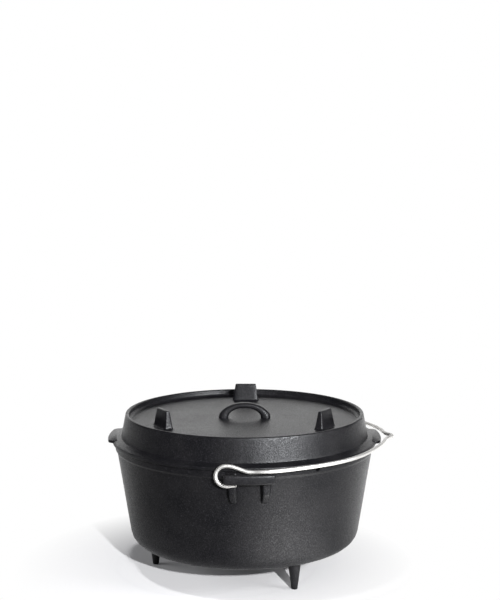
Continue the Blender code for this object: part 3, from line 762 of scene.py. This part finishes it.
def make_lid_body(iron):
    """Lid: flange, skirt, raised lip and sunk plate as one rounded profile, turned."""
    slope = (SKIRT_FOOT_RADIUS - LIP_RADIUS) / (LIP_TOP - SKIRT_FOOT)
    ridge_outer = MOUTH_RADIUS - LID_CLEARANCE
    under = LIP_RADIUS + (LIP_TOP - PLATE_UNDERSIDE) * slope - SKIRT_THICKNESS
    lip_inner = LIP_RADIUS - SKIRT_THICKNESS
    profile = rounded([
        (0.0, PLATE_UNDERSIDE, 0.0),
        (under, PLATE_UNDERSIDE, PLATE_UNDER_ROUND),
        (ridge_outer - SKIRT_THICKNESS, RIDGE_FOOT, EDGE_ROUND),
        (ridge_outer - RIDGE_DRAFT, RIDGE_FOOT, EDGE_ROUND),
        (ridge_outer, LID_SEAT, RIDGE_ROOT_ROUND),
        (FLANGE_RADIUS, LID_SEAT, EDGE_ROUND),
        (FLANGE_RADIUS, FLANGE_TOP, FLANGE_ROUND),
        (SKIRT_FOOT_RADIUS + SKIRT_FOOT_STEP, SKIRT_FOOT, SKIRT_FOOT_ROUND),
        (LIP_RADIUS, LIP_TOP, LIP_ROUND),
        (lip_inner, LIP_TOP, LIP_ROUND),
        (lip_inner - LIP_DRAFT, PLATE_TOP, PLATE_EDGE_ROUND),
        (0.0, PLATE_TOP, 0.0),
    ])
    piece = add_piece("lid_casting", turned(profile, full_turn()), iron, "lid", waves=WAVE_DEPTH)
    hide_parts("lid")


def make_tab(name, azimuth, iron):
    """Lifting tab: a flat lobe whose outline is the flange's circle carried further out,
    with round corners. Its edge is half an ellipse as high as the tab is thick: the
    outline moves in by inset (1 - cos e) as the level rises by half the height (1 + sin e).
    """
    corner_turn = TAB_CORNER / TAB_RADIUS
    sweep = np.linspace(0.0, pi / 2, TAB_CORNER_POINTS)
    corner_out = TAB_RADIUS - TAB_CORNER * (1 - np.sin(sweep))
    corner = TAB_HALF_ANGLE - corner_turn * (1 - np.cos(sweep))
    tip = np.linspace(-1.0, 1.0, TAB_TIP_POINTS)[1:-1] * (TAB_HALF_ANGLE - corner_turn)
    base = np.linspace(1.0, -1.0, TAB_BASE_POINTS)[1:-1] * TAB_HALF_ANGLE
    root = [TAB_ROOT_RADIUS, TAB_ROOT_RADIUS + TAB_ROOT_STEP]
    out = np.concatenate([
        root, corner_out, np.full(len(tip), TAB_RADIUS), corner_out[::-1], root[::-1],
        np.full(len(base), TAB_ROOT_RADIUS),
    ])
    turn = np.concatenate([
        [-TAB_HALF_ANGLE] * 2, -corner, tip, corner[::-1], [TAB_HALF_ANGLE] * 2, base,
    ])
    edge = np.linspace(-pi / 2, pi / 2, TAB_EDGE_RINGS)[:, None]
    inset = TAB_THICKNESS * TAB_EDGE_INSET * (1 - np.cos(edge))
    level = SKIRT_FOOT - TAB_DROP - TAB_THICKNESS / 2 * (1 - np.sin(edge))
    out = out[None] * (1 - inset / TAB_RADIUS)
    turn = turn[None] * (1 - inset / (TAB_RADIUS * TAB_HALF_ANGLE))
    points = np.stack([out, np.zeros_like(out), np.broadcast_to(level, out.shape)], axis=-1)
    grid = turned_to(points, azimuth + LID_TURN + turn)
    return add_piece(name, with_end_caps(grid), iron, "lid")


def make_stub(name, azimuth, iron):
    """Stub foot: at each level a box |x/a|^7 + |y/b|^7 = 1. Its half sizes shrink straight
    upwards, with an exponential flare at the plate and a quarter ellipse at the top.
    """
    share = np.array(STUB_RINGS)[:, None]
    height = STUB_TOP - PLATE_TOP
    level = PLATE_TOP - STUB_SINK + share / share[-1] * (height + STUB_SINK)
    above = (level - PLATE_TOP) / height
    flare = STUB_FLARE * np.exp(-np.maximum(above, 0.0) * height / STUB_FLARE_HEIGHT)
    draft = STUB_DRAFT * (1 - above) + flare
    near_top = ((above - (1 - STUB_TOP_SHARE)) / STUB_TOP_SHARE).clip(0, 1)
    top_round = STUB_TOP_ROUND * (1 - np.sqrt(np.clip(1 - near_top ** 2, 0.0, 1.0)))
    section_out, section_along = squared_circle(full_turn(STUB_SIDES)[None], STUB_SECTION)
    out = STUB_CIRCLE_RADIUS + (STUB_TOP_DEPTH / 2 + draft - top_round) * section_out
    along = (STUB_TOP_WIDTH / 2 + draft - top_round) * section_along
    points = np.stack([out, along, np.broadcast_to(level, out.shape)], axis=-1)
    grid = with_end_caps(turned_to(points, radians(azimuth) + LID_TURN))
    return add_piece(name, grid, iron, "lid", crease=STUB_CREASE_ANGLE)


def make_arch(iron):
    """Arch handle: a flat oval section swept over half an ellipse, flaring at its feet by
    the fourth power of the sine of the sweep.
    """
    turn = np.linspace(-pi / 2, pi / 2, ARCH_RINGS)[:, None]
    outer = np.stack([ARCH_SPAN / 2 * np.sin(turn), ARCH_RISE * np.cos(turn)])
    inner = np.stack([ARCH_OPENING_SPAN / 2 * np.sin(turn), ARCH_OPENING_RISE * np.cos(turn)])
    middle, reach = (outer + inner) / 2, (outer - inner) / 2
    width = ARCH_WIDTH + ARCH_FLARE * np.sin(turn) ** 4
    across, side = squared_circle(full_turn(SIDES)[None], ARCH_SECTION)
    x, z = middle + reach * across
    grid = np.stack([x, side * width / 2, PLATE_TOP + z], axis=-1)
    foot = grid[[0, -1]] - np.array([0.0, 0.0, SINK])
    grid = turned_to(np.concatenate([foot[:1], grid, foot[1:]]), LID_TURN)
    return add_piece("arch_handle", with_end_caps(grid), iron, "lid", waves=WAVE_DEPTH / 2)


def make_lid_fittings(iron):
    """Tabs, stub feet and handle, cast in one with the lid."""
    pieces = [make_tab("tab_right", 0.0, iron), make_tab("tab_left", pi, iron), make_arch(iron)]
    pieces += [make_stub(name, azimuth, iron) for name, azimuth in STUB_AZIMUTHS.items()]


# The wire bail


def half_bail_points():
    """Front half of the bail as (ahead, out, up) from its free end to the kink: half an
    ellipse round the post, a cosine bend down onto the bar, then the bow round the lid
    with a bulge and a nose that are both bell curves, reach * exp(-s^2).
    """
    tail = [(EYE_TAIL, EYE_PLANE, -TAIL_DROP),
            ((EYE_TAIL - EYE_SET_BACK) / 2, EYE_PLANE, -TAIL_DROP - 0.4 * EYE_CLEARANCE)]
    turns = -pi / 2 - np.linspace(0.0, pi, 10)
    eye = np.stack([
        EYE_HALF_LENGTH * np.cos(turns) - EYE_SET_BACK,
        np.full(len(turns), EYE_PLANE),
        EYE_HEIGHT + EYE_HALF_HEIGHT * np.sin(turns),
    ], axis=-1)
    step_down = EYE_HEIGHT + EYE_HALF_HEIGHT - ARM_HEIGHT
    share = np.array([0.2, 0.4, 0.6, 0.8])
    bend = np.stack([
        share * EYE_BEND_LENGTH - EYE_SET_BACK,
        EYE_PLANE + ARM_OUTSET * np.array([0.0, 0.0, 0.35, 1.0]),
        ARM_HEIGHT + step_down * 0.5 * (1 + np.cos(pi * share)),
    ], axis=-1)
    along = ARM_LENGTH * np.array([1.45, 1.9, 2.45])
    closing_in = np.array([0.32, 0.66, 0.95])
    radius = EYE_PLANE + closing_in * (BAR_MIDDLE - EYE_PLANE) + ARM_OUTSET
    shoulder = np.stack([along, np.sqrt(radius ** 2 - along ** 2)], axis=-1)
    turns = np.linspace(BOW_START, BOW_END, 11)
    off_bulge = (turns - BOW_BULGE_ANGLE) / BOW_BULGE_SPREAD
    swell = BOW_RADIUS + BOW_BULGE * np.exp(-(off_bulge ** 2))
    bow = np.stack([swell * np.cos(turns), swell * np.sin(turns)], axis=-1)
    spread = np.array([1.9, 1.4, 1.0, 0.65, 0.3, 0.0])
    on_circle = np.sqrt(BOW_RADIUS ** 2 - (KINK_SPREAD * spread) ** 2)
    ahead = on_circle + KINK_REACH * np.exp(-(spread ** 2))
    kink = np.stack([ahead, KINK_SPREAD * spread], axis=-1)
    level = np.concatenate([shoulder, bow, kink])
    level = np.column_stack([level, ARM_HEIGHT * level[:, 1] / EYE_PLANE])
    return np.concatenate([tail, eye, bend, level])


def smooth_through(points, per_span):
    """Smooth curve through the points: between two of them it is the cubic that leaves and
    arrives along the line joining each one's neighbours.
    """
    ends = np.vstack([2 * points[0] - points[1], points, 2 * points[-1] - points[-2]])
    ends = ends[:, None]
    before, here, after, beyond = ends[:-3], ends[1:-2], ends[2:-1], ends[3:]
    t = (np.arange(per_span) / per_span)[None, :, None]
    first = (after - before) * t
    second = (2 * before - 5 * here + 4 * after - beyond) * t ** 2
    third = (3 * here - before - 3 * after + beyond) * t ** 3
    curve = 0.5 * (2 * here + first + second + third)
    return np.vstack([curve.reshape(-1, 3), points[-1:]])


def bail_centreline():
    """Whole centreline at rest. The back half is the front half turned half a turn about
    the line from the hinge's middle to the kink.
    """
    half = half_bail_points()
    turn = atan(POST_SPACING / 2 / EYE_PLANE)
    hinge = np.array((-sin(turn), -cos(turn), 0.0))
    level = np.array((cos(turn), -sin(turn), 0.0))
    forward = level * cos(REST_TILT) + np.array((0.0, 0.0, sin(REST_TILT)))
    up = np.array((0.0, 0.0, cos(REST_TILT))) - level * sin(REST_TILT)
    axes = np.stack([forward, hinge, up])
    front = half @ axes
    back = (half * (1.0, -1.0, -1.0))[-2::-1] @ axes
    return smooth_through(np.vstack([front, back]), POINTS_PER_SPAN) + (0.0, 0.0, POST_LEVEL)


def tube(path, radius, sides):
    """Round tube along a path. At each point the section is a circle square to the path,
    started from a direction that is carried along with the least twist.
    """
    tangent = np.gradient(path, axis=0)
    tangent /= np.linalg.norm(tangent, axis=1)[:, None]
    side = np.empty_like(path)
    side[0] = np.cross(tangent[0], (0.0, 0.3, 1.0))
    for i in range(1, len(path)):
        side[i] = side[i - 1] - tangent[i] * (side[i - 1] @ tangent[i])
        side[i] /= np.linalg.norm(side[i])
    side[0] /= np.linalg.norm(side[0])
    other = np.cross(tangent, side)
    angle = full_turn(sides)[None, :, None]
    return path[:, None] + radius * (np.cos(angle) * side[:, None] + np.sin(angle) * other[:, None])


def with_round_ends(grid, path):
    """The tube with its cut ends slightly rounded: for angles a up to a quarter turn, rings
    whose radius is a share s + (1 - s) cos a of the wire's, with s the share that is left
    flat, short of the tip by the rounding * (1 - sin a).
    """
    turns = radians(90) * np.array(WIRE_END_TURNS)[:, None, None]
    tips = []
    for end, inner in ((0, 1), (-1, -2)):
        heading = path[end] - path[inner]
        heading *= WIRE_END_ROUND / np.linalg.norm(heading)
        spread = grid[end] - path[end]
        drawn_in = spread * (WIRE_END_SIZE + (1 - WIRE_END_SIZE) * np.cos(turns))
        tips.append(path[end] + drawn_in + heading * (np.sin(turns) - 1))
        grid[end] -= heading
    return np.concatenate([tips[0][::-1], grid, tips[1]])


def lay_run_map(piece, path):
    """UV map named run: u is the angle up round the wire as a share of half a turn, and v
    is the length along it in metres, at the nearest point of its centreline.
    """
    mesh = piece.data
    places = read_vertices(mesh, "co")
    gaps = np.linalg.norm(np.diff(path, axis=0), axis=1)
    length = np.concatenate([[0.0], np.cumsum(gaps)])
    nearest = ((path ** 2).sum(axis=1) - 2 * places @ path.T).argmin(axis=1)
    away = places - path[nearest]
    around = np.arctan2(away[:, 2], np.hypot(away[:, 0], away[:, 1])) / pi
    corners = np.empty(len(mesh.loops), int)
    mesh.loops.foreach_get("vertex_index", corners)
    run = np.stack([around[corners], length[nearest[corners]]], axis=-1)
    mesh.uv_layers.new(name="run").data.foreach_set("uv", run.ravel())


def make_bail(steel):
    """The bail: one tube along the centreline."""
    path = bail_centreline()
    grid = with_round_ends(tube(path, WIRE_RADIUS, WIRE_SIDES), path)
    piece = add_piece("bail_wire", with_end_caps(grid), steel, "bail")
    lay_run_map(piece, path)
    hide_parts("bail")


# Floor, light and camera


def make_floor():
    """A pale floor. Round the pot it is grey with a faint glow of its own, so that shadows
    on it stay light, and further out it fades into a plain glow. The camera sees that glow
    white. In the pot's reflections it is dim, brighter to the right and to the back, and
    brightest in two round patches.
    """
    finish = Finish("pale_floor", Base_Color=FLOOR_TONE, Roughness=0.8, Specular_IOR_Level=0.0,
                    Emission_Color=FLOOR_GLOW, Emission_Strength=1.0)
    places = finish.places()
    fade = finish.ramp(finish.distance(places, FADE_MIDDLE), FADE_START, FADE_END)
    mirrored = LEAST_GLOW
    for axis, (start, end, strength) in (("X", GLOW_TO_RIGHT), ("Y", GLOW_TO_BACK)):
        way = finish.node("ShaderNodeSeparateXYZ", {}, {0: places}, axis)
        mirrored = mirrored + finish.ramp(way, start, end) * strength
    for middle, radius, strength in GLOW_PATCHES:
        inwards = radius - finish.distance(places, middle)
        mirrored = mirrored + finish.ramp(inwards, 0.0, radius) * strength
    strength = mirrored + finish.seen_by_camera() * (1.0 - mirrored)
    glow = finish.node("ShaderNodeEmission", {}, {"Color": WHITE, "Strength": strength})
    lit = Signal(finish, finish.shader.outputs[0])
    output = finish.tree.nodes["Material Output"]
    finish.feed(output.inputs["Surface"], finish.mixed(fade, lit, glow))
    angle = full_turn(FLOOR_SIDES)
    ring = FLOOR_RADIUS * np.stack([np.cos(angle), np.sin(angle), 0 * angle], axis=-1)
    mesh = bpy.data.meshes.new("floor")
    mesh.from_pydata(ring, [], [list(range(FLOOR_SIDES))])
    mesh.materials.append(finish.material)
    floor = bpy.data.objects.new("floor", mesh)
    bpy.context.scene.collection.objects.link(floor)


def add_light(name, azimuth, elevation, distance, size, power, colour, unseen_by):
    """An area light aimed at the pot, which the camera and the rays named don't meet."""
    light = bpy.data.lights.new(name, "AREA")
    light.shape = "RECTANGLE"
    light.size, light.size_y = size
    light.energy = power
    light.color = colour
    lamp = bpy.data.objects.new(name, light)
    turn = radians(azimuth - 90.0)
    rise = radians(elevation)
    target = Vector(LIGHT_TARGET)
    way = Vector((cos(turn) * cos(rise), sin(turn) * cos(rise), sin(rise)))
    lamp.location = target + distance * way
    lamp.rotation_euler = (target - lamp.location).to_track_quat("-Z", "Y").to_euler()
    for ray in ("camera", *unseen_by):
        setattr(lamp, f"visible_{ray}", False)
    bpy.context.scene.collection.objects.link(lamp)


def make_room():
    """A dark room, which the camera sees white, and colours shown as they are."""
    world = bpy.data.worlds.new("studio")
    bpy.context.scene.world = world
    world.use_nodes = True
    room = Recipe(world.node_tree)
    background = room.tree.nodes["Background"]
    room.feed(background.inputs["Color"], ROOM_TONE)
    dark = Signal(room, background.outputs[0])
    white = room.node("ShaderNodeBackground", {}, {"Color": WHITE})
    output = room.tree.nodes["World Output"]
    room.feed(output.inputs["Surface"], room.mixed(room.seen_by_camera(), dark, white))
    bpy.context.scene.view_settings.view_transform = "Standard"


def make_camera():
    """The photograph's view: 1.77 m away and 6.6 degrees down."""
    camera = bpy.data.cameras.new("camera")
    camera.sensor_fit = "HORIZONTAL"
    camera.sensor_width = SENSOR_WIDTH
    camera.lens = FOCAL_LENGTH
    holder = bpy.data.objects.new("camera", camera)
    holder.location = CAMERA_PLACE
    holder.rotation_euler = (CAMERA_TILT, 0.0, CAMERA_TURN)
    bpy.context.scene.collection.objects.link(holder)
    bpy.context.scene.camera = holder


def main():
    """Set the stage, then make the pot, its lid and its bail."""
    make_camera()
    make_floor()
    for name, light in LIGHTS.items():
        add_light(name, *light)
    make_room()
    iron = seasoned_iron("seasoned_iron")
    steel = drawn_wire("drawn_steel")
    make_pot_body(iron)
    make_legs(iron)
    make_ears(iron)
    make_lid_body(iron)
    make_lid_fittings(iron)
    make_bail(steel)


main()
bpy.context.view_layer.update()
